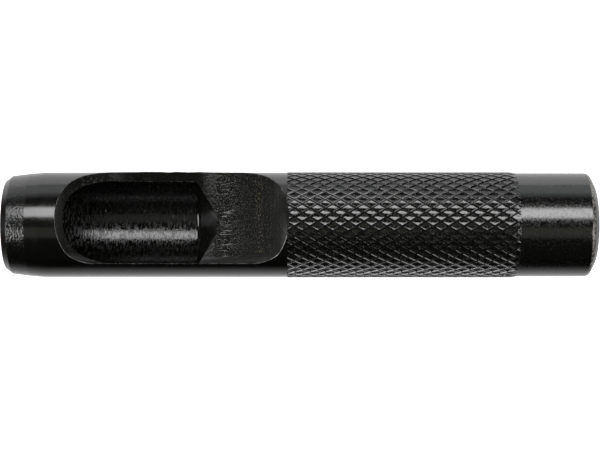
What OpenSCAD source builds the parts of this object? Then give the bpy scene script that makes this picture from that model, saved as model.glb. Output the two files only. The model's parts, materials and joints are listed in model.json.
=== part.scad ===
// Hollow drive punch for leather: one blackened steel bar, 20 mm cutting edge, side window for the
// slugs, knurled grip and plain striking head. It lies along X, with the cutting edge at -X and the
// window facing up. The four solids are the bar's machined zones, which meet face to face.

/* [Bore and wall] */
// Diameter of the bore and of the hole that the punch cuts
bore_d = 20; // [8:0.5:30]
// Thickness of the wall round the bore
wall = 2; // [1.2:0.1:4]
// Full angle of the drill point at the blind end of the bore
drill_point_angle = 118; // [90:1:140]
// How far the full bore runs past the middle of the window
bore_past_middle = 4.75; // [0:0.05:10]

/* [Cutting nose] */
// Width of the flat left on the cutting edge
edge_land = 0.25; // [0.05:0.05:0.5]
// Length of the steep bevel behind the edge
bevel_length = 1.4; // [0.5:0.1:3]
// Height that the steep bevel climbs
bevel_rise = 1; // [0.3:0.05:1]
// Length of the ground cone behind the bevel
ground_length = 4.1; // [2:0.1:10]
// Height that the ground cone climbs
ground_rise = 0.43; // [0.1:0.01:0.5]
// Length of the turned taper that runs out to the full bar
taper_length = 3; // [1:0.1:8]

/* [Window] */
// Full round wall between the taper and the window
window_margin = 3.9; // [1:0.1:10]
// Length of the window along the outside of the bar
window_length = 52.1; // [35:0.1:70]
// Height of the window's deepest point above the bar's axis
window_floor = 0; // [-2:0.1:3]
// Height of the cutter's side wall from the axis, on the side where the wall still stands
window_side = 9.9; // [6:0.05:9.95]
// Diameter of the disc cutter that mills the window
cutter_d = 57; // [48:1:120]
// How far the end of the window cuts into the knurl
window_into_grip = 0.4; // [0.2:0.1:3]

/* [Knurled grip] */
// Length of the knurl
grip_length = 52; // [20:0.1:90]
// Distance between two knurl tracks, round the bar
knurl_pitch = 2.1; // [1.8:0.1:4]
// Angle of the knurl tracks from the bar's axis
knurl_angle = 31.5; // [25:0.5:45]
// Depth of the knurl tracks
knurl_depth = 0.45; // [0.2:0.05:0.8]
// Height of the knurl's crests above the plain bar
knurl_rise = 0.02; // [0:0.01:0.5]

/* [Striking head] */
// Length of the plain head
head_length = 17.9; // [6:0.1:40]
// How much smaller the head is than the bar, on the radius
head_relief = 0.15; // [0:0.05:0.5]
// Length of the chamfer round the striking face
chamfer_length = 1.4; // [0.5:0.1:4]
// Width of the chamfer across the striking face
chamfer_width = 2.7; // [0.5:0.1:4]

/* [Hidden] */
$fn = 96;
// Overlap of a cutting tool past the face that it cuts
past = 1;

bore_r = bore_d / 2;
bar_r = bore_r + wall;
head_r = bar_r - head_relief;

// Stations along the bar, measured from the cutting edge
nose_end = bevel_length + ground_length + taper_length;
window_start = nose_end + window_margin;
window_middle = window_start + window_length / 2;
grip_start = window_start + window_length - window_into_grip;
grip_end = grip_start + grip_length;
total_length = grip_end + head_length;
bore_end = window_middle + bore_past_middle;
drill_point_length = bore_r / tan(drill_point_angle / 2);

// The window is two plunges of a disc cutter whose axis lies across the bar. A cutter that would make
// the window too long in one plunge is replaced by one that just fits.
window_depth = bar_r - window_floor;
one_plunge_r = (pow(window_length / 2, 2) + pow(window_depth, 2)) / (2 * window_depth);
cutter_r = min(cutter_d / 2, one_plunge_r);
cutter_reach = sqrt(pow(cutter_r, 2) - pow(cutter_r - window_depth, 2));
cutter_step = window_length / 2 - cutter_reach;
cutter_width = window_side + bar_r + past;

// The knurl is a grid of half pitches, with crests and roots at every other corner
crest_r = bar_r + knurl_rise;
root_r = crest_r - knurl_depth;
knurl_starts = round(2 * PI * bar_r / knurl_pitch);
knurl_columns = 2 * knurl_starts;
knurl_half_pitch = PI * bar_r / knurl_starts / tan(knurl_angle);
knurl_rows = round(grip_length / knurl_half_pitch);
knurl_row_step = grip_length / knurl_rows;

// The bar lies on the lowest crest line of its knurl, with its middle over the origin
axis_height = crest_r;

blackened_steel = [0.13, 0.13, 0.14];
ground_steel = [0.24, 0.24, 0.25];

// Moves a zone made upright on the origin to its station along the bar
module at_station(station) {
    translate([station - total_length / 2, 0, axis_height])
        rotate([0, 90, 0])
            children();
}

module cutting_nose() {
    bevel_end = [bore_r + edge_land + bevel_rise, bevel_length];
    ground_end = [bevel_end[0] + ground_rise, bevel_length + ground_length];
    color(ground_steel)
        at_station(0)
            rotate_extrude()
                polygon([
                    [bore_r, 0],
                    [bore_r + edge_land, 0],
                    bevel_end,
                    ground_end,
                    [bar_r, nose_end],
                    [bore_r, nose_end]
                ]);
}

module drilled_bore() {
    at_station(nose_end - past)
        cylinder(r = bore_r, h = bore_end - nose_end + past);
    at_station(bore_end)
        cylinder(r1 = bore_r, r2 = 0, h = drill_point_length);
}

module window_plunge(station) {
    translate([
        station - total_length / 2,
        -window_side,
        axis_height + window_floor + cutter_r
    ])
        rotate([-90, 0, 0])
            cylinder(r = cutter_r, h = cutter_width);
}

module front_plunge() {
    window_plunge(window_middle - cutter_step);
}

module back_plunge() {
    window_plunge(window_middle + cutter_step);
}

module slotted_barrel() {
    color(blackened_steel)
        difference() {
            at_station(nose_end)
                cylinder(r = bar_r, h = grip_start - nose_end);
            drilled_bore();
            front_plunge();
            back_plunge();
        }
}

function is_crest(row, column) = (row + column) % 2 == 1;

function knurl_point(row, column) =
    let (
        r = is_crest(row, column) ? crest_r : root_r,
        angle = 360 * column / knurl_columns
    )
    [row * knurl_row_step, r * cos(angle), r * sin(angle)];

function knurl_index(row, column) = row * knurl_columns + column % knurl_columns;

// Two triangles between four neighbouring grid points, split along the track that crosses them
function knurl_cell(row, column) =
    let (
        a = knurl_index(row, column),
        b = knurl_index(row, column + 1),
        c = knurl_index(row + 1, column + 1),
        d = knurl_index(row + 1, column)
    )
    is_crest(row, column) ? [[a, d, b], [c, b, d]] : [[a, c, b], [a, d, c]];

module knurled_grip() {
    points = [
        for (row = [0:knurl_rows])
            for (column = [0:knurl_columns - 1])
                knurl_point(row, column)
    ];
    cells = [
        for (row = [0:knurl_rows - 1])
            for (column = [0:knurl_columns - 1])
                each knurl_cell(row, column)
    ];
    front_end = [for (column = [0:knurl_columns - 1]) knurl_index(0, column)];
    back_end = [for (column = [knurl_columns - 1:-1:0]) knurl_index(knurl_rows, column)];
    color(blackened_steel)
        difference() {
            translate([grip_start - total_length / 2, 0, axis_height])
                polyhedron(points = points, faces = concat(cells, [front_end, back_end]));
            back_plunge();
        }
}

module striking_head() {
    color(blackened_steel)
        at_station(grip_end)
            rotate_extrude()
                polygon([
                    [0, 0],
                    [head_r, 0],
                    [head_r, head_length - chamfer_length],
                    [head_r - chamfer_width, head_length],
                    [0, head_length]
                ]);
}

cutting_nose();
slotted_barrel();
knurled_grip();
striking_head();
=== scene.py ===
# Hollow drive punch: the looks of the four machined zones of its bar, lit as a studio photograph
import json
import math

import bpy
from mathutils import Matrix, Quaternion, Vector


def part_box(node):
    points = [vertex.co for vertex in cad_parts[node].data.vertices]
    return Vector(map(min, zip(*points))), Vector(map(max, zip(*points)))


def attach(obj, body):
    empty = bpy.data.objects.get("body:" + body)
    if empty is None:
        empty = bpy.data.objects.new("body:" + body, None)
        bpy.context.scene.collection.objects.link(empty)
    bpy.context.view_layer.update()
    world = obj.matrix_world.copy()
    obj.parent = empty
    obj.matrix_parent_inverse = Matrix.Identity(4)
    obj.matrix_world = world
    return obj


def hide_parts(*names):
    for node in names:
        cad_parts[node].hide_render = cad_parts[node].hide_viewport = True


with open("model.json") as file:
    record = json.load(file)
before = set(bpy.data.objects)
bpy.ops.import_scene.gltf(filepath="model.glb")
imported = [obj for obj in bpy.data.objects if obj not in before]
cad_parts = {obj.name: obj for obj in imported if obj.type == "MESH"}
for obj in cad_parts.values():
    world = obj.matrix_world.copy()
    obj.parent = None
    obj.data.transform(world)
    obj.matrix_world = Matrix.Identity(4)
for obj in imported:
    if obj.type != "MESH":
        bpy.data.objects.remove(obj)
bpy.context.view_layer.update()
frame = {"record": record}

# Sizes taken from the frame, in metres
MM = 0.001
mounts = {m["name"]: m for m in frame["record"]["mounts"]}
nose_lo, nose_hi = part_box("cutting_nose")
barrel_lo, barrel_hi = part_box("slotted_barrel")
grip_lo, grip_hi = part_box("knurled_grip")
head_lo, head_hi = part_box("striking_head")
AXIS_Z = mounts["cutting_bore"]["pos_m"][2]
BORE_R = mounts["cutting_bore"]["dims"]["r_mm"] * MM
BORE_END = nose_lo.x + mounts["cutting_bore"]["dims"]["length_mm"] * MM
BAR_R = (barrel_hi.y - barrel_lo.y) / 2
CREST_R = (grip_hi.y - grip_lo.y) / 2
HEAD_R = (head_hi.y - head_lo.y) / 2

# Cutting nose. Its ground cone is a little steeper than the solid's, for the highlight's place.
EDGE_LAND = 0.25 * MM
EDGE_RUB = 0.05 * MM
BEVEL_LENGTH = 1.4 * MM
BEVEL_RISE = 1.0 * MM
GROUND_LENGTH = 4.1 * MM
GROUND_RISE = 0.5 * MM
NOSE_ROUND = 0.06 * MM

# Blind end of the bore, with a round between its wall and the drill point
DRILL_POINT = math.radians(118)
DRILL_TIP_R = 0.15 * MM
BORE_ROUND = 0.7 * MM
BORE_ROUND_FROM = BORE_END - 0.75 * MM
BORE_ROUND_TO = BORE_END + 0.4 * MM

# Window, two plunges of a disc cutter across the bar, with a round at the foot of its side wall
WINDOW_START = nose_hi.x + 3.9 * MM
WINDOW_LENGTH = 52.1 * MM
WINDOW_SIDE = 9.72 * MM
CUTTER_R = 28.5 * MM
CUTTER_CORNER = 2.2 * MM
CUTTER_PAST = 1 * MM
CUTTER_WIDTH = WINDOW_SIDE + BAR_R + CUTTER_PAST
CUTTER_REACH = math.sqrt(CUTTER_R ** 2 - (CUTTER_R - BAR_R) ** 2)
CUTTER_Z = AXIS_Z + CUTTER_R
PLUNGES = (WINDOW_START + CUTTER_REACH, WINDOW_START + WINDOW_LENGTH - CUTTER_REACH)
FLOOR_EDGE_Y = CUTTER_CORNER - WINDOW_SIDE
EDGE_BREAK = 0.12 * MM
# A milled face lies this near to the cutter, and its normal's Y is above this
WINDOW_SLACK = 0.02 * MM
LOOKS_AWAY = -0.1

# Burr that the cutter turned over along the window's far wall: X, and its lean out and up, in mm
BURR = (
    (-50, 0, 0), (-46, 0, 0.1), (-42, 0, 0.2), (-38, 0.04, 0.25), (-36.6, 0.08, 0.28),
    (-35.8, 0.25, 0.28), (-32, 0.27, 0.28), (-30.3, 0.16, 0.26), (-28.5, 0.28, 0.28),
    (-25.5, 0.19, 0.26), (-23, 0.25, 0.28), (-21.5, 0.06, 0.25), (-18, 0, 0.14), (-15, 0, 0),
)
BURR_Y = 10.8 * MM
BURR_LOW = -0.2 * MM
BURR_HIGH = 5.2 * MM

# Knurl
KNURL_STARTS = 36
KNURL_ANGLE = math.radians(31.5)
KNURL_WIDTH = 2 * math.pi * CREST_R / KNURL_STARTS
KNURL_LENGTH = KNURL_WIDTH / math.tan(KNURL_ANGLE)
KNURL_R = CREST_R + 0.05 * MM
KNURL_DEPTH = 0.29 * MM
# One diamond, from its foot to its dished top: inset, rise, and lean along and round the bar, in mm
KNURL_STEPS = (
    (0.09, 0.15, -0.05, 0),
    (0.09, 0.09, -0.05, 0.02),
    (0.09, 0.05, -0.04, 0.02),
    (0.17, -0.048, 0, 0),
    (0.25, -0.05, 0, 0),
)
# Where the rollers left the bar: mean length, its waves of (part, count, phase) and last radius
RUN_OUT = 1.6 * MM
RUN_OUT_WAVES = ((0.5, 13, 0), (0.3, 29, 1))
RUN_OUT_R = HEAD_R + 0.02 * MM

# Striking head
CHAMFER_LENGTH = 1.4 * MM
CHAMFER_WIDTH = 2.7 * MM
CHAMFER_ROUNDS = (0.8 * MM, 0.5 * MM)
FACE_CENTRE_R = 0.2 * MM
STRUCK_LENGTH = 3 * MM
# Least X of a face's normal at the worn edge with its painted glint, and at the chamfer and the
# flat
STRUCK_LEAN = 0.15
CHAMFER_LEAN = 0.8

# Fineness of the meshes
TURNED_SEGMENTS = 164
CUTTER_SEGMENTS = 720
CORNER_SEGMENTS = 8
ROUND_STEPS = (0, 0.2, 0.4, 0.6, 0.8, 1)
HOLDING_RING = 0.3
SMOOTH_ANGLE = math.radians(20)

# Gaps to merge: doubled points, the seams between diamonds, and the crumbs that a cut leaves
SAME_POINT = 0.001 * MM
KNURL_SEAM = 0.02 * MM
CUT_CRUMB = 0.03 * MM

# Slack where a face or an edge is told by its place, and room kept from the barrel's ends
HAIR = 0.01 * MM
END_MARGIN = 0.1 * MM
END_CLEAR = 1 * MM

# Place off every plane of symmetry, from which the parts of a mesh are numbered
ORDER_FROM = (0.31, 0.17, 0.23)

# Finishes, as the faces of each piece number them
NOSE_TURNED, NOSE_GROUND, NOSE_BEVEL, NOSE_BORED, NOSE_RUBBED = range(5)
TURNED, BORED, DRILLED, MILLED, RUBBED_AND_GLINT, BORE_CORNER, MILLED_ROUND = range(7)
GRIP_ROLLED, GRIP_MILLED = range(2)
HEAD_TURNED, STRUCK_CHAMFER, STRUCK_EDGE_AND_GLINT = range(3)


# Modelling helpers
def pick(piece):
    bpy.ops.object.select_all(action="DESELECT")
    piece.select_set(True)
    bpy.context.view_layer.objects.active = piece


def settle(piece):
    """Bakes the object's place into its mesh, so that it sits at the origin."""
    pick(piece)
    bpy.ops.object.transform_apply(location=True, rotation=True, scale=True)


def named(name):
    piece = bpy.context.object
    piece.name = name
    piece.data.name = name
    return piece


def close_up(piece, gap):
    """Merges doubled points and points every face outwards."""
    pick(piece)
    bpy.ops.object.mode_set(mode="EDIT")
    bpy.ops.mesh.select_all(action="SELECT")
    bpy.ops.mesh.remove_doubles(threshold=gap)
    bpy.ops.mesh.delete_loose()
    bpy.ops.mesh.select_all(action="SELECT")
    bpy.ops.mesh.normals_make_consistent(inside=False)
    bpy.ops.object.mode_set(mode="OBJECT")


def put_in_order(piece):
    """Numbers points, edges and faces by their distance from one place.

    Some operators number them by where they lie in memory, so the later cuts would differ a little
    from run to run.
    """
    bpy.context.scene.cursor.location = ORDER_FROM
    pick(piece)
    bpy.ops.object.mode_set(mode="EDIT")
    bpy.ops.mesh.select_all(action="SELECT")
    bpy.ops.mesh.sort_elements(type="CURSOR_DISTANCE", elements={"VERT", "EDGE", "FACE"})
    bpy.ops.object.mode_set(mode="OBJECT")


def clear_edges():
    """Sets edit mode to edges, with none of the active piece's edges selected."""
    bpy.ops.object.mode_set(mode="EDIT")
    bpy.ops.mesh.select_mode(type="EDGE")
    bpy.ops.mesh.select_all(action="DESELECT")
    bpy.ops.object.mode_set(mode="OBJECT")


def turn(name, stations, fill):
    """Lathe work: a ring drawn out along the bar through stations of (x, radius)."""
    x, r = stations[0]
    bpy.ops.object.select_all(action="DESELECT")
    bpy.ops.mesh.primitive_circle_add(
        vertices=TURNED_SEGMENTS,
        radius=r,
        fill_type="NGON" if fill else "NOTHING",
        location=(x, 0, AXIS_Z),
        rotation=(0, math.pi / 2, 0),
    )
    piece = named(name)
    settle(piece)
    bpy.ops.object.mode_set(mode="EDIT")
    bpy.ops.mesh.select_all(action="SELECT")
    for next_x, next_r in stations[1:]:
        move = {"value": (next_x - x, 0, 0)}
        if fill:
            bpy.ops.mesh.extrude_region_move(TRANSFORM_OT_translate=move)
        else:
            bpy.ops.mesh.extrude_edges_move(TRANSFORM_OT_translate=move)
        grow = next_r / r
        bpy.ops.transform.resize(value=(1, grow, grow), center_override=(next_x, 0, AXIS_Z))
        x, r = next_x, next_r
    bpy.ops.object.mode_set(mode="OBJECT")
    put_in_order(piece)
    close_up(piece, SAME_POINT)
    return piece


def broken(profile, sizes):
    """A turned profile with each inner corner broken by a round between two holding rings."""
    points = [Vector(p) for p in profile]
    out = [profile[0]]
    for before, corner, after, size in zip(points, points[1:], points[2:], sizes):
        back = (before - corner).normalized() * size
        on = (after - corner).normalized() * size
        start, end = corner + back, corner + on
        out.append(tuple(start + back * HOLDING_RING))
        for t in ROUND_STEPS:
            bend = start.lerp(corner, t).lerp(corner.lerp(end, t), t)
            out.append(tuple(bend))
        out.append(tuple(end + on * HOLDING_RING))
    return out + [profile[-1]]


def off_axis(point):
    return math.hypot(point.y, point.z - AXIS_Z)


# Window
def make_window_cutter(x):
    """A disc across the bar, with a round on the rim that leaves the window's side wall."""
    bpy.ops.object.select_all(action="DESELECT")
    bpy.ops.mesh.primitive_cylinder_add(
        vertices=CUTTER_SEGMENTS,
        radius=CUTTER_R,
        depth=CUTTER_WIDTH,
        location=(x, CUTTER_WIDTH / 2 - WINDOW_SIDE, CUTTER_Z),
        rotation=(math.pi / 2, 0, 0),
    )
    cutter = named("window_cutter")
    settle(cutter)
    clear_edges()
    points = cutter.data.vertices
    for edge in cutter.data.edges:
        edge.select = all(points[number].co.y < 0 for number in edge.vertices)
    bpy.ops.object.mode_set(mode="EDIT")
    bpy.ops.mesh.bevel(offset=CUTTER_CORNER, segments=CORNER_SEGMENTS, affect="EDGES")
    bpy.ops.object.mode_set(mode="OBJECT")
    return cutter


def cut_window(piece):
    for x in PLUNGES:
        cutter = make_window_cutter(x)
        cut = piece.modifiers.new("window", "BOOLEAN")
        cut.operation = "DIFFERENCE"
        cut.solver = "EXACT"
        cut.object = cutter
        pick(piece)
        bpy.ops.object.modifier_apply(modifier="window")
        bpy.data.objects.remove(cutter)


def in_window(face):
    """True for a face that the disc cutter left: floor, side wall or the round between them."""
    at = face.center
    aside = max(FLOOR_EDGE_Y - at.y, 0)
    for x in PLUNGES:
        down = max(math.hypot(at.x - x, at.z - CUTTER_Z) - CUTTER_R + CUTTER_CORNER, 0)
        off_cutter = abs(math.hypot(down, aside) - CUTTER_CORNER)
        if off_cutter < WINDOW_SLACK and face.normal.y > LOOKS_AWAY:
            return True
    return False


def break_window_edges(piece):
    """A small worn bevel along the outer and inner edges of the window, whose faces take a lighter
    finish that is partly a painted highlight.
    """
    close_up(piece, CUT_CRUMB)
    mesh = piece.data
    # The bevel gives its faces a finish only if the mesh has a slot for it
    for _ in range(MILLED_ROUND):
        mesh.materials.append(None)
    sides = {}
    for face in mesh.polygons:
        for key in face.edge_keys:
            sides.setdefault(key, []).append(face.material_index)
    clear_edges()
    worn = ([TURNED, MILLED], [BORED, MILLED], [MILLED, BORE_CORNER])
    inner_x = (barrel_lo.x + END_MARGIN, barrel_hi.x - END_MARGIN)
    for edge in mesh.edges:
        start, end = (mesh.vertices[number].co for number in edge.vertices)
        middle = (start + end) / 2
        edge.select = sorted(sides[edge.key]) in worn and inner_x[0] < middle.x < inner_x[1]
    bpy.ops.object.mode_set(mode="EDIT")
    bpy.ops.mesh.bevel(
        offset_type="WIDTH",
        offset=EDGE_BREAK,
        segments=1,
        affect="EDGES",
        material=RUBBED_AND_GLINT,
        clamp_overlap=False,
    )
    bpy.ops.mesh.select_all(action="SELECT")
    bpy.ops.mesh.remove_doubles(threshold=SAME_POINT)
    bpy.ops.mesh.select_all(action="SELECT")
    bpy.ops.mesh.fill_holes(sides=4)
    bpy.ops.object.mode_set(mode="OBJECT")
    put_in_order(piece)


def turn_over_burr(piece):
    """Leans the outer edge of the window's far wall out and up."""
    for v in piece.data.vertices:
        if v.co.y > BURR_Y and BURR_LOW < v.co.z - AXIS_Z < BURR_HIGH:
            for (x0, out0, up0), (x1, out1, up1) in zip(BURR, BURR[1:]):
                if x0 * MM <= v.co.x < x1 * MM:
                    share = (v.co.x / MM - x0) / (x1 - x0)
                    v.co.y += (out0 + (out1 - out0) * share) * MM
                    v.co.z += (up0 + (up1 - up0) * share) * MM


def hold_floor(piece):
    """Keeps the finish and the shading of the window's long floor faces apart from the round's."""
    for face in piece.data.polygons:
        if face.material_index == MILLED and face.center.y < FLOOR_EDGE_Y:
            face.material_index = MILLED_ROUND
    for edge in piece.data.edges:
        ends = [piece.data.vertices[number].co.y for number in edge.vertices]
        if all(abs(y - FLOOR_EDGE_Y) < HAIR for y in ends):
            edge.use_edge_sharp = True


# Pieces
def make_nose():
    edge_x = nose_lo.x
    bevel_end = (edge_x + BEVEL_LENGTH, BORE_R + EDGE_LAND + BEVEL_RISE)
    ground_end = (bevel_end[0] + GROUND_LENGTH, bevel_end[1] + GROUND_RISE)
    profile = [
        (nose_hi.x, BORE_R),
        (edge_x, BORE_R),
        (edge_x, BORE_R + EDGE_LAND),
        bevel_end,
        ground_end,
        (nose_hi.x, BAR_R),
    ]
    nose = turn("punch_nose", broken(profile, [NOSE_ROUND] * 4) + [profile[0]], fill=False)
    for face in nose.data.polygons:
        if off_axis(face.center) < BORE_R + HAIR:
            face.material_index = NOSE_BORED
        elif face.center.x < edge_x + EDGE_RUB:
            face.material_index = NOSE_RUBBED
        elif face.center.x < bevel_end[0]:
            face.material_index = NOSE_BEVEL
        elif face.center.x < ground_end[0]:
            face.material_index = NOSE_GROUND
        else:
            face.material_index = NOSE_TURNED
    return nose


def make_barrel():
    tip_x = BORE_END + (BORE_R - DRILL_TIP_R) / math.tan(DRILL_POINT / 2)
    profile = [(tip_x, DRILL_TIP_R), (BORE_END, BORE_R), (barrel_lo.x, BORE_R)]
    outside = [(barrel_lo.x, BAR_R), (barrel_hi.x, BAR_R)]
    barrel = turn("punch_barrel", broken(profile, [BORE_ROUND]) + outside, fill=True)
    for face in barrel.data.polygons:
        x, r = face.center.x, off_axis(face.center)
        if BORE_ROUND_FROM < x < BORE_ROUND_TO and r < BORE_R + HAIR:
            face.material_index = BORE_CORNER
        elif barrel_lo.x < x < BORE_END and r < BORE_R + HAIR:
            face.material_index = BORED
        elif BORE_END < x < barrel_hi.x - END_CLEAR and r < BORE_R - HAIR:
            face.material_index = DRILLED
    cut_window(barrel)
    for face in barrel.data.polygons:
        if in_window(face):
            face.material_index = MILLED
    break_window_edges(barrel)
    turn_over_burr(barrel)
    hold_floor(barrel)
    return barrel


def wrap_round_bar(piece, radius):
    """Rolls a flat sheet in X and Y round the bar, with heights kept as radii."""
    for v in piece.data.vertices:
        angle = v.co.y / radius
        r = radius + v.co.z
        v.co.y = r * math.sin(angle)
        v.co.z = AXIS_Z + r * math.cos(angle)


def run_out_knurl(piece):
    """Fades the tracks out where the rollers left the bar, some sooner than others."""
    for v in piece.data.vertices:
        r = off_axis(v.co)
        if r < BORE_R:
            continue
        angle = math.atan2(v.co.y, v.co.z - AXIS_Z)
        waves = (part * math.sin(count * angle + phase) for part, count, phase in RUN_OUT_WAVES)
        length = RUN_OUT * sum(waves, 1)
        share = (v.co.x - grip_hi.x + length) / length
        if share > 0:
            grow = (r + (RUN_OUT_R - r) * min(share, 1) ** 2) / r
            v.co.y *= grow
            v.co.z = AXIS_Z + (v.co.z - AXIS_Z) * grow


def make_diamonds():
    """Two neighbouring diamonds of the knurl, rolled to the bar."""
    bpy.ops.object.select_all(action="DESELECT")
    bpy.ops.mesh.primitive_circle_add(vertices=4, radius=1, fill_type="NGON")
    grip = named("punch_grip")
    grip.scale = (KNURL_LENGTH / 2, KNURL_WIDTH / 2, 1)
    grip.location = (grip_lo.x, 0, -KNURL_DEPTH)
    settle(grip)
    bpy.ops.object.mode_set(mode="EDIT")
    bpy.ops.mesh.select_all(action="SELECT")
    for thickness, depth, lean_x, lean_y in KNURL_STEPS:
        bpy.ops.mesh.inset(thickness=thickness * MM, depth=depth * MM)
        bpy.ops.transform.translate(value=(lean_x * MM, lean_y * MM, 0))
    bpy.ops.object.mode_set(mode="OBJECT")
    wrap_round_bar(grip, KNURL_R)
    bpy.ops.object.mode_set(mode="EDIT")
    bpy.ops.mesh.select_all(action="SELECT")
    bpy.ops.mesh.duplicate_move(TRANSFORM_OT_translate={"value": (KNURL_LENGTH / 2, 0, 0)})
    bpy.ops.transform.rotate(
        value=math.pi / KNURL_STARTS, orient_axis="X", center_override=(0, 0, AXIS_Z)
    )
    bpy.ops.object.mode_set(mode="OBJECT")
    return grip


def repeat_diamonds(grip):
    """Copies the diamonds along the grip and round the bar, and merges their edges."""
    along = grip.modifiers.new("along", "ARRAY")
    along.use_relative_offset = False
    along.use_constant_offset = True
    along.constant_offset_displace = (KNURL_LENGTH, 0, 0)
    along.count = math.ceil((grip_hi.x - grip_lo.x) / KNURL_LENGTH) + 1
    turner = bpy.data.objects.new("turner", None)
    bpy.context.scene.collection.objects.link(turner)
    axis = Vector((0, 0, AXIS_Z))
    turner.rotation_euler = (2 * math.pi / KNURL_STARTS, 0, 0)
    turner.location = axis - turner.rotation_euler.to_matrix() @ axis
    bpy.context.view_layer.update()
    around = grip.modifiers.new("around", "ARRAY")
    around.use_relative_offset = False
    around.use_object_offset = True
    around.offset_object = turner
    around.count = KNURL_STARTS
    for name in ("along", "around"):
        bpy.ops.object.modifier_apply(modifier=name)
    bpy.data.objects.remove(turner)
    close_up(grip, KNURL_SEAM)


def make_grip():
    grip = make_diamonds()
    repeat_diamonds(grip)
    bpy.ops.object.mode_set(mode="EDIT")
    for end_x, at_start in ((grip_lo.x, True), (grip_hi.x, False)):
        bpy.ops.mesh.select_all(action="SELECT")
        bpy.ops.mesh.bisect(
            plane_co=(end_x, 0, 0),
            plane_no=(1, 0, 0),
            use_fill=True,
            clear_inner=at_start,
            clear_outer=not at_start,
        )
    bpy.ops.object.mode_set(mode="OBJECT")
    close_up(grip, SAME_POINT)
    run_out_knurl(grip)
    cut_window(grip)
    for face in grip.data.polygons:
        face.material_index = GRIP_MILLED if in_window(face) else GRIP_ROLLED
    return grip


def make_head():
    face_x = head_hi.x
    profile = [
        (head_lo.x, HEAD_R),
        (face_x - CHAMFER_LENGTH, HEAD_R),
        (face_x, HEAD_R - CHAMFER_WIDTH),
        (face_x, FACE_CENTRE_R),
    ]
    head = turn("punch_head", broken(profile, CHAMFER_ROUNDS), fill=True)
    for face in head.data.polygons:
        if face.center.x <= face_x - STRUCK_LENGTH or face.normal.x <= STRUCK_LEAN:
            face.material_index = HEAD_TURNED
        elif face.normal.x < CHAMFER_LEAN:
            face.material_index = STRUCK_EDGE_AND_GLINT
        else:
            face.material_index = STRUCK_CHAMFER
    return head


# Material helpers
def add_node(tree, kind, settings=None, values=None):
    node = tree.nodes.new(kind)
    for name, value in (settings or {}).items():
        setattr(node, name, value)
    for name, value in (values or {}).items():
        node.inputs[name].default_value = value
    return node


def add_math(tree, operation, second=None):
    """A Math node, with a number in its second socket where one is given."""
    node = add_node(tree, "ShaderNodeMath", {"operation": operation})
    if second is not None:
        node.inputs[1].default_value = second
    return node


def add_group(tree, group, values):
    return add_node(tree, "ShaderNodeGroup", {"node_tree": group}, values)


def new_group(name, inputs, outputs):
    group = bpy.data.node_groups.new(name, "ShaderNodeTree")
    for label, kind, value in inputs:
        socket = group.interface.new_socket(label, in_out="INPUT", socket_type=kind)
        socket.default_value = value
    for label, kind in outputs:
        group.interface.new_socket(label, in_out="OUTPUT", socket_type=kind)
    return group, group.nodes.new("NodeGroupInput"), group.nodes.new("NodeGroupOutput")


def make_tool_marks():
    """Noise drawn out across the direction of a cut, as a height from 0 to 1."""
    group, given, out = new_group(
        "tool_marks",
        [("Marks per mm", "NodeSocketVector", (1, 1, 1)), ("Detail", "NodeSocketFloat", 2)],
        [("Height", "NodeSocketFloat")],
    )
    place = add_node(group, "ShaderNodeTexCoord")
    spread = add_node(group, "ShaderNodeVectorMath", {"operation": "MULTIPLY"})
    to_mm = add_node(group, "ShaderNodeVectorMath", {"operation": "SCALE"}, {"Scale": 1 / MM})
    noise = add_node(group, "ShaderNodeTexNoise", None, {"Scale": 1, "Roughness": 0.55})
    group.links.new(place.outputs["Object"], spread.inputs[0])
    group.links.new(given.outputs["Marks per mm"], spread.inputs[1])
    group.links.new(spread.outputs[0], to_mm.inputs[0])
    group.links.new(to_mm.outputs[0], noise.inputs["Vector"])
    group.links.new(given.outputs["Detail"], noise.inputs["Detail"])
    group.links.new(noise.outputs["Fac"], out.inputs["Height"])
    return group


tool_marks = make_tool_marks()
NOISE_MIDDLE = 0.5
SPECKLE_DETAIL = 4
MARK_DETAIL = 3


def make_wear_and_glint_spots():
    """Mask of spots where the blackening is worn through, and on some finishes spots of painted
    highlight.
    """
    group, given, out = new_group(
        "wear_and_glint_spots",
        [
            ("Spots per mm", "NodeSocketVector", (1, 1, 1)),
            ("Threshold", "NodeSocketFloat", 0.6),
            ("Softness", "NodeSocketFloat", 0.1),
        ],
        [("Mask", "NodeSocketFloat")],
    )
    marks = add_group(group, tool_marks, {"Detail": SPECKLE_DETAIL})
    top = add_math(group, "ADD")
    ramp = add_node(group, "ShaderNodeMapRange", {"interpolation_type": "SMOOTHSTEP"})
    group.links.new(given.outputs["Spots per mm"], marks.inputs["Marks per mm"])
    group.links.new(given.outputs["Threshold"], top.inputs[0])
    group.links.new(given.outputs["Softness"], top.inputs[1])
    group.links.new(marks.outputs["Height"], ramp.inputs["Value"])
    group.links.new(given.outputs["Threshold"], ramp.inputs["From Min"])
    group.links.new(top.outputs[0], ramp.inputs["From Max"])
    group.links.new(ramp.outputs["Result"], out.inputs["Mask"])
    return group


wear_and_glint_spots = make_wear_and_glint_spots()


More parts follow.
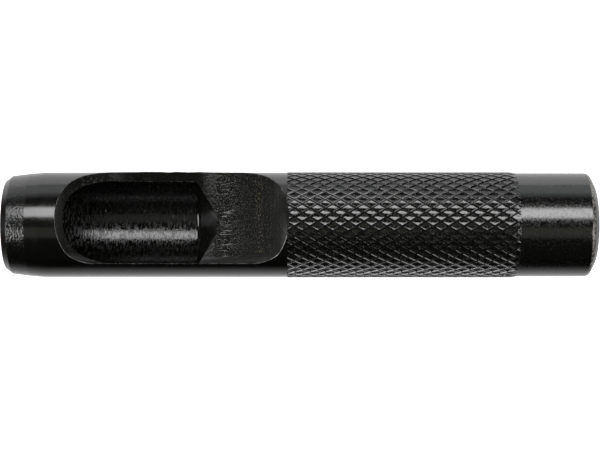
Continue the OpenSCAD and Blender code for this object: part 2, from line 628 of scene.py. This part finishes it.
def make_along_band():
    """Share from 1 at a station along the bar to 0 at the band's reach on either side."""
    group, given, out = new_group(
        "along_band",
        [("Middle mm", "NodeSocketFloat", 0), ("Reach mm", "NodeSocketFloat", 5)],
        [("Share", "NodeSocketFloat")],
    )
    place = add_node(group, "ShaderNodeTexCoord")
    split = add_node(group, "ShaderNodeSeparateXYZ")
    to_mm = add_math(group, "DIVIDE", MM)
    away = add_math(group, "SUBTRACT")
    size = add_math(group, "ABSOLUTE")
    fall = add_node(
        group,
        "ShaderNodeMapRange",
        {"interpolation_type": "SMOOTHSTEP"},
        {"To Min": 1, "To Max": 0},
    )
    group.links.new(place.outputs["Object"], split.inputs[0])
    group.links.new(split.outputs["X"], to_mm.inputs[0])
    group.links.new(to_mm.outputs[0], away.inputs[0])
    group.links.new(given.outputs["Middle mm"], away.inputs[1])
    group.links.new(away.outputs[0], size.inputs[0])
    group.links.new(size.outputs[0], fall.inputs["Value"])
    group.links.new(given.outputs["Reach mm"], fall.inputs["From Max"])
    group.links.new(fall.outputs["Result"], out.inputs["Share"])
    return group


along_band = make_along_band()


def times(tree, socket, factor):
    """The socket times a number, or times another socket."""
    product = add_math(tree, "MULTIPLY")
    tree.links.new(socket, product.inputs[0])
    if isinstance(factor, (int, float)):
        product.inputs[1].default_value = factor
    else:
        tree.links.new(factor, product.inputs[1])
    return product.outputs[0]


def within(tree, socket, band):
    """The socket faded out away from a band of (middle, reach) in mm, or unchanged without one."""
    if band is None:
        return socket
    share = add_group(tree, along_band, {"Middle mm": band[0], "Reach mm": band[1]})
    return times(tree, socket, share.outputs["Share"])


def steel(name, colour, ior, gloss, marks, spots):
    """Blackened steel with a speckled gloss, tool marks, and spots of a lighter colour: worn steel,
    and on some finishes painted highlights.

    gloss is (lowest roughness, highest roughness, speckles per mm, spread). marks is a list of
    (marks per mm, depth in mm, band). spots is a list of (spots per mm, threshold, softness,
    strength, colour, band).
    """
    material = bpy.data.materials.new(name)
    material.use_nodes = True
    tree = material.node_tree
    shader = tree.nodes["Principled BSDF"]
    shader.inputs["IOR"].default_value = ior

    low, high, per_mm, spread = gloss
    speckle = add_group(tree, tool_marks, {"Marks per mm": per_mm, "Detail": SPECKLE_DETAIL})
    rough = add_node(
        tree,
        "ShaderNodeMapRange",
        None,
        {
            "From Min": NOISE_MIDDLE - spread,
            "From Max": NOISE_MIDDLE + spread,
            "To Min": low,
            "To Max": high,
        },
    )
    tree.links.new(speckle.outputs["Height"], rough.inputs["Value"])
    tree.links.new(rough.outputs["Result"], shader.inputs["Roughness"])

    heights = []
    for per_mm, depth, band in marks:
        cut = add_group(tree, tool_marks, {"Marks per mm": per_mm, "Detail": MARK_DETAIL})
        heights.append(within(tree, times(tree, cut.outputs["Height"], depth * MM), band))
    total = heights[0]
    for height in heights[1:]:
        both = add_math(tree, "ADD")
        tree.links.new(total, both.inputs[0])
        tree.links.new(height, both.inputs[1])
        total = both.outputs[0]
    bump = add_node(tree, "ShaderNodeBump", None, {"Strength": 1, "Distance": 1})
    tree.links.new(total, bump.inputs["Height"])
    tree.links.new(bump.outputs["Normal"], shader.inputs["Normal"])

    under = None
    for per_mm, threshold, softness, strength, wear_and_glint_colour, band in spots:
        wear_and_glint_mask = add_group(
            tree,
            wear_and_glint_spots,
            {"Spots per mm": per_mm, "Threshold": threshold, "Softness": softness},
        )
        tint = add_node(tree, "ShaderNodeMix", {"data_type": "RGBA"})
        tint.inputs["A"].default_value = (*colour, 1)
        tint.inputs["B"].default_value = (*wear_and_glint_colour, 1)
        if under is not None:
            tree.links.new(under, tint.inputs["A"])
        share = within(tree, times(tree, wear_and_glint_mask.outputs["Mask"], strength), band)
        tree.links.new(share, tint.inputs["Factor"])
        under = tint.outputs["Result"]
    tree.links.new(under, shader.inputs["Base Color"])
    return material


# Finishes of the steel
OXIDE = (0.002, 0.0021, 0.0016)
# Colour of steel worn through the blackening, which on the window's broken edges and the round at
# the head's chamfer also paints highlights.
BARE_AND_GLINT = (0.3, 0.28, 0.25)
GREY = (0.28, 0.29, 0.265)
BRASSY = (0.36, 0.28, 0.14)
CLOUD = (0.5, 0.35, 0.35)
FINE = (2.4, 2.4, 2.4)
turned_black = steel(
    "turned_black", OXIDE, 1.71, (0.14, 0.2, CLOUD, 0.2),
    [((9, 0.12, 0.12), 0.003, None), ((2.2, 2.2, 2.2), 0.003, None)],
    [((1.2, 0.6, 0.6), 0.66, 0.12, 0.03, BARE_AND_GLINT, None), ((4, 4, 4), 0.7, 0.04, 0.1, BARE_AND_GLINT, (-57, 9))],
)
ground_black = steel(
    "ground_black", OXIDE, 1.75, (0.1, 0.24, (2.6, 2.6, 2.6), 0.06),
    [((2.4, 1.7, 1.7), 0.085, None), ((1.6, 1.6, 1.6), 0.01, None)],
    [((3, 3, 3), 0.66, 0.08, 0.06, BARE_AND_GLINT, None)],
)
bevel_black = steel(
    "bevel_black", (0.004, 0.0036, 0.003), 1.65, (0.18, 0.26, CLOUD, 0.2),
    [((6, 0.4, 0.4), 0.01, None), ((2, 2, 2), 0.01, None)],
    [((1.5, 0.7, 0.7), 0.6, 0.2, 0.04, BARE_AND_GLINT, None)],
)
bored_black = steel(
    "bored_black", (0.0016, 0.0017, 0.0013), 1.6, (0.08, 0.34, (2.5, 0.8, 0.8), 0.06),
    [((1.2, 0.1, 0.1), 0.07, None), ((0.9, 0.9, 0.9), 0.03, None), ((2.2, 1.5, 1.5), 0.035, None)],
    [((2.6, 0.5, 0.5), 0.68, 0.05, 0.3, BARE_AND_GLINT, None), ((4, 4, 4), 0.7, 0.05, 0.06, BARE_AND_GLINT, None)],
)
bore_corner_black = steel(
    "bore_corner_black", OXIDE, 1.62, (0.08, 0.14, CLOUD, 0.2),
    [((3, 0.3, 0.3), 0.004, None), ((1, 1, 1), 0.003, None)],
    [((1.5, 1.5, 1.5), 0.7, 0.1, 0.03, BARE_AND_GLINT, None)],
)
drill_point_black = steel(
    "drill_point_black", OXIDE, 1.75, (0.2, 0.28, CLOUD, 0.2),
    [((3, 0.3, 0.3), 0.004, None), ((1, 1, 1), 0.003, None)],
    [((1.5, 1.5, 1.5), 0.7, 0.1, 0.03, BARE_AND_GLINT, None)],
)
milled_black = steel(
    "milled_black", (0.0032, 0.0033, 0.0027), 1.58, (0.1, 0.18, FINE, 0.1),
    [
        ((0.3, 1.5, 0.3), 0.06, (-16, 6)),
        ((1.6, 0.1, 0.2), 0.05, (-5, 6)),
        ((1.4, 1.4, 1.4), 0.02, None),
    ],
    [
        ((3.2, 3.2, 3.2), 0.46, 0.2, 0.1, GREY, (-12, 14)),
        ((2.2, 0.12, 0.3), 0.48, 0.2, 0.05, GREY, (-3, 9)),
        # Grey streaks and specks near the foot of the ramp, at X -17 mm, are partly mill marks and
        # partly painted highlights where the grooves catch the lamp on the left.
        ((0.4, 3.2, 0.4), 0.56, 0.1, 0.5, GREY, (-17.2, 3.6)),
        ((4, 4, 4), 0.58, 0.08, 0.55, GREY, (-17.2, 6)),
        ((1.6, 1.6, 1.6), 0.52, 0.14, 0.12, GREY, (-47, 9)),
        # Brassy band at X -9.4 mm, along the step in the floor: a painted yellowish highlight.
        (FINE, 0.56, 0.12, 0.25, BRASSY, (-9.4, 1.4)),
    ],
)
milled_round_black = steel(
    "milled_round_black", (0.004, 0.0042, 0.0035), 1.42, (0.36, 0.5, FINE, 0.1),
    [((1.4, 1.4, 1.4), 0.02, None)],
    [((3.2, 3.2, 3.2), 0.5, 0.2, 0.1, GREY, None)],
)
rolled_black = steel(
    "rolled_black", OXIDE, 1.72, (0.07, 0.23, FINE, 0.1),
    [((1.6, 1.6, 1.6), 0.03, None), ((3, 3, 3), 0.012, None)],
    [((3, 3, 3), 0.61, 0.08, 0.2, BARE_AND_GLINT, None)],
)
head_black = steel(
    "head_black", OXIDE, 1.81, (0.12, 0.28, (2, 2, 2), 0.15),
    [((7, 0.15, 0.15), 0.004, None), ((1.6, 1.6, 1.6), 0.008, None)],
    [((1.4, 0.8, 0.8), 0.64, 0.08, 0.06, BARE_AND_GLINT, None), ((4, 4, 4), 0.7, 0.04, 0.1, BARE_AND_GLINT, (48, 7))],
)
struck_chamfer = steel(
    "struck_chamfer", (0.012, 0.0115, 0.01), 1.75, (0.25, 0.45, FINE, 0.1),
    [((5, 0.4, 0.4), 0.02, None), ((1.8, 1.8, 1.8), 0.05, None)],
    [((1.8, 1.8, 1.8), 0.5, 0.2, 0.1, BARE_AND_GLINT, None)],
)
# Round at the head's chamfer: a lighter base colour and bright spots, partly wear from striking and
# partly a painted glint.
struck_edge_and_glint = steel(
    "struck_edge_and_glint", (0.03, 0.0285, 0.025), 1.75, (0.2, 0.4, FINE, 0.1),
    [((4, 4, 4), 0.01, None), ((2, 2, 2), 0.02, None)],
    [((1.4, 1.4, 1.4), 0.44, 0.15, 0.6, BARE_AND_GLINT, None)],
)
# Finish of the window's broken edges and the nose's cutting edge: its bright spots are partly wear
# to bright steel and partly a painted highlight along the window's lip.
rubbed_edge_and_glint = steel(
    "rubbed_edge_and_glint", (0.01, 0.0095, 0.0085), 1.55, (0.2, 0.4, FINE, 0.1),
    [((4, 4, 4), 0.01, None), ((2, 2, 2), 0.02, None)],
    [((1.1, 1.1, 1.1), 0.46, 0.14, 0.3, BARE_AND_GLINT, None)],
)


def dress(piece, node, materials):
    """Gives a piece its materials, in the order of its finishes, and its place in the frame."""
    numbers = [face.material_index for face in piece.data.polygons]
    piece.data.materials.clear()
    for material in materials:
        piece.data.materials.append(material)
    for face, number in zip(piece.data.polygons, numbers):
        face.material_index = number
    pick(piece)
    bpy.ops.object.shade_smooth_by_angle(angle=SMOOTH_ANGLE)
    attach(piece, "root")
    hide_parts(node)


dress(
    make_nose(), "cutting_nose",
    [turned_black, ground_black, bevel_black, bored_black, rubbed_edge_and_glint],
)
dress(
    make_barrel(), "slotted_barrel",
    [
        turned_black, bored_black, drill_point_black, milled_black, rubbed_edge_and_glint, bore_corner_black,
        milled_round_black,
    ],
)
dress(make_grip(), "knurled_grip", [rolled_black, milled_black])
dress(make_head(), "striking_head", [head_black, struck_chamfer, struck_edge_and_glint])

# Camera, in the photograph's place
IMAGE_WIDTH_PX = 600
VIEW_DISTANCE_PX = 1600
PX = 0.2294 * MM
AIM_RIGHT_PX = -0.3
AIM_DOWN_PX = 0.2
CAMERA_TILT = math.radians(8)
SENSOR = 36


def add_camera():
    data = bpy.data.cameras.new("camera")
    data.sensor_width = SENSOR
    data.lens = SENSOR * VIEW_DISTANCE_PX / IMAGE_WIDTH_PX
    camera = bpy.data.objects.new("camera", data)
    bpy.context.scene.collection.objects.link(camera)
    back = Vector((0, -math.sin(CAMERA_TILT), math.cos(CAMERA_TILT)))
    up = Vector((0, math.cos(CAMERA_TILT), math.sin(CAMERA_TILT)))
    target = Vector((AIM_RIGHT_PX * PX, 0, AXIS_Z)) - up * AIM_DOWN_PX * PX
    camera.location = target + back * VIEW_DISTANCE_PX * PX
    camera.rotation_mode = "QUATERNION"
    camera.rotation_quaternion = (-back).to_track_quat("-Z", "Y")
    bpy.context.scene.camera = camera


add_camera()


# Lights
def area_light(name, angles_deg, distance, size, glow, colour=(1, 1, 1), roll_deg=0):
    """A soft box of (width, height), at angles up the image and along the bar from the camera."""
    width, height = size
    data = bpy.data.lights.new(name, "AREA")
    data.shape = "RECTANGLE"
    data.size = width
    data.size_y = height
    data.energy = glow * math.pi * width * height
    data.color = colour
    lamp = bpy.data.objects.new(name, data)
    bpy.context.scene.collection.objects.link(lamp)
    across = math.radians(angles_deg[0]) - CAMERA_TILT
    along = math.radians(angles_deg[1])
    direction = Vector(
        (math.sin(along), math.cos(along) * math.sin(across), math.cos(along) * math.cos(across))
    )
    lamp.location = Vector((0, 0, AXIS_Z)) + direction * distance
    lamp.rotation_mode = "QUATERNION"
    roll = Quaternion((0, 0, 1), math.radians(roll_deg))
    lamp.rotation_quaternion = direction.to_track_quat("Z", "Y") @ roll
    lamp.visible_camera = False


WARM = (1, 1, 0.85)
COOL = (0.96, 0.99, 1)
area_light("strip", (26.4, 3), 0.8, (0.94, 0.31), 5.5, roll_deg=4)
area_light("front_fill", (-17, 0), 0.8, (1.2, 0.31), 0.22, WARM)
area_light("left_box", (-20.5, -50), 0.85, (0.42, 0.38), 8)
area_light("right_box", (-20, 45), 0.85, (0.42, 0.5), 3)
area_light("back_low", (84, 0), 1.2, (3, 0.5), 0.79, COOL)
area_light("back_high", (68, 0), 1.2, (3, 0.18), 0.35, COOL)
area_light("left_wall", (6, -80), 1.2, (0.45, 1.5), 0.12)
area_light("right_wall", (6, 80), 1.2, (0.45, 1.5), 0.1)

# White floor and surroundings
FLOOR_SIZE = 6
PAPER = (0.8, 0.8, 0.8, 1)
PAPER_SEEN = 0.93
DARK_ROOM = (0.01, 0.01, 0.0095, 1)
WHITE = (1, 1, 1, 1)
# Floor as the steel mirrors it: dark well in front, bright under and behind, dim past the ends
NEAR_GLOW = {"From Min": -0.055, "From Max": -0.016}
NEAR_POWER = 1.6
FAR_GLOW = {"From Min": -0.01, "From Max": 0.12, "To Min": 0, "To Max": 0.28}
ENDS_GLOW = {"From Min": 0.07, "From Max": 0.14, "To Min": 1, "To Max": 0.15}


def mirrored_glow(tree):
    """How bright the floor looks in the steel, by its place before, behind or beside the bar."""
    place = add_node(tree, "ShaderNodeTexCoord")
    split = add_node(tree, "ShaderNodeSeparateXYZ")
    near = add_node(tree, "ShaderNodeMapRange", None, NEAR_GLOW)
    steep = add_math(tree, "POWER", NEAR_POWER)
    far = add_node(tree, "ShaderNodeMapRange", None, FAR_GLOW)
    glow = add_math(tree, "ADD")
    sideways = add_math(tree, "ABSOLUTE")
    behind = add_math(tree, "MAXIMUM", 0)
    reach = add_math(tree, "SUBTRACT")
    ends = add_node(tree, "ShaderNodeMapRange", None, ENDS_GLOW)
    tree.links.new(place.outputs["Object"], split.inputs[0])
    tree.links.new(split.outputs["X"], sideways.inputs[0])
    tree.links.new(split.outputs["Y"], behind.inputs[0])
    tree.links.new(sideways.outputs[0], reach.inputs[0])
    tree.links.new(behind.outputs[0], reach.inputs[1])
    tree.links.new(reach.outputs[0], ends.inputs["Value"])
    tree.links.new(split.outputs["Y"], near.inputs["Value"])
    tree.links.new(split.outputs["Y"], far.inputs["Value"])
    tree.links.new(near.outputs["Result"], steep.inputs[0])
    tree.links.new(steep.outputs[0], glow.inputs[0])
    tree.links.new(far.outputs["Result"], glow.inputs[1])
    return times(tree, glow.outputs[0], ends.outputs["Result"])


def add_floor():
    bpy.ops.object.select_all(action="DESELECT")
    bpy.ops.mesh.primitive_plane_add(size=FLOOR_SIZE, location=(0, 0, AXIS_Z - KNURL_R))
    floor = named("floor")
    material = bpy.data.materials.new("white_paper")
    material.use_nodes = True
    tree = material.node_tree
    tree.nodes.clear()
    out = add_node(tree, "ShaderNodeOutputMaterial")
    path = add_node(tree, "ShaderNodeLightPath")
    paper = add_node(tree, "ShaderNodeBsdfDiffuse", None, {"Color": PAPER})
    seen = add_node(tree, "ShaderNodeEmission", None, {"Strength": PAPER_SEEN})
    mirrored = add_node(tree, "ShaderNodeEmission")
    lit = add_node(tree, "ShaderNodeAddShader")
    by_camera = add_node(tree, "ShaderNodeMixShader")
    by_gloss = add_node(tree, "ShaderNodeMixShader")
    gloss = add_math(tree, "MAXIMUM")
    tree.links.new(mirrored_glow(tree), mirrored.inputs["Strength"])
    tree.links.new(paper.outputs[0], lit.inputs[0])
    tree.links.new(seen.outputs[0], lit.inputs[1])
    tree.links.new(path.outputs["Is Glossy Ray"], gloss.inputs[0])
    tree.links.new(path.outputs["Is Transmission Ray"], gloss.inputs[1])
    tree.links.new(path.outputs["Is Camera Ray"], by_camera.inputs["Fac"])
    tree.links.new(paper.outputs[0], by_camera.inputs[1])
    tree.links.new(lit.outputs[0], by_camera.inputs[2])
    tree.links.new(gloss.outputs[0], by_gloss.inputs["Fac"])
    tree.links.new(by_camera.outputs[0], by_gloss.inputs[1])
    tree.links.new(mirrored.outputs[0], by_gloss.inputs[2])
    tree.links.new(by_gloss.outputs[0], out.inputs["Surface"])
    floor.data.materials.append(material)


def add_world():
    world = bpy.data.worlds.new("studio")
    bpy.context.scene.world = world
    world.use_nodes = True
    tree = world.node_tree
    tree.nodes.clear()
    out = add_node(tree, "ShaderNodeOutputWorld")
    path = add_node(tree, "ShaderNodeLightPath")
    dark = add_node(tree, "ShaderNodeBackground", None, {"Color": DARK_ROOM})
    white = add_node(tree, "ShaderNodeBackground", None, {"Color": WHITE})
    mix = add_node(tree, "ShaderNodeMixShader")
    tree.links.new(path.outputs["Is Camera Ray"], mix.inputs["Fac"])
    tree.links.new(dark.outputs[0], mix.inputs[1])
    tree.links.new(white.outputs[0], mix.inputs[2])
    tree.links.new(mix.outputs[0], out.inputs["Surface"])


add_floor()
add_world()
bpy.context.scene.view_settings.view_transform = "Standard"
